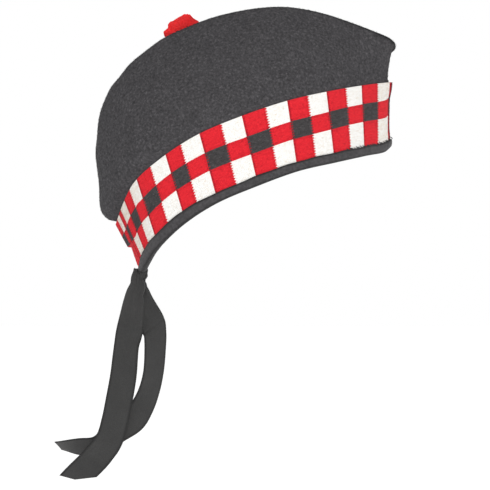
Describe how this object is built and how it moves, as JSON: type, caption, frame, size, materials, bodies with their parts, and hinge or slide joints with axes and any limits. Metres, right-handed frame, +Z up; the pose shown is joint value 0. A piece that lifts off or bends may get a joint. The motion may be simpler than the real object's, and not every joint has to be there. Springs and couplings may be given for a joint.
{
  "type": "glengarry",
  "caption": "Boat-shaped charcoal wool cap with a pleated crown, a red, white and grey diced band, a bound rim, ribbon tails knotted at the back and a red wool toorie on top.",
  "frame": {"origin": "middle of the head opening, where the hat sits round the wearer's head", "axes": "+X to the wearer's front, +Y to the wearer's left, +Z up, with the hat tilted as it is worn in the picture"},
  "size_m": [0.2662, 0.1606, 0.3674],
  "materials": {
    "milled_wool": "matte milled wool",
    "diced_knit": "matte woollen dicing in red, white and dark grey checks",
    "ribbon": "fine ribbed ribbon, slight sheen",
    "red_wool": "fluffy wool yarn"
  },
  "bodies": {
    "root": {"crown": "milled_wool", "diced_band": "diced_knit", "rim_binding": "ribbon", "ribbon_knot": "ribbon", "ribbon_tail_right": "ribbon", "ribbon_tail_left": "ribbon", "toorie": "red_wool"}
  },
  "joints": []
}
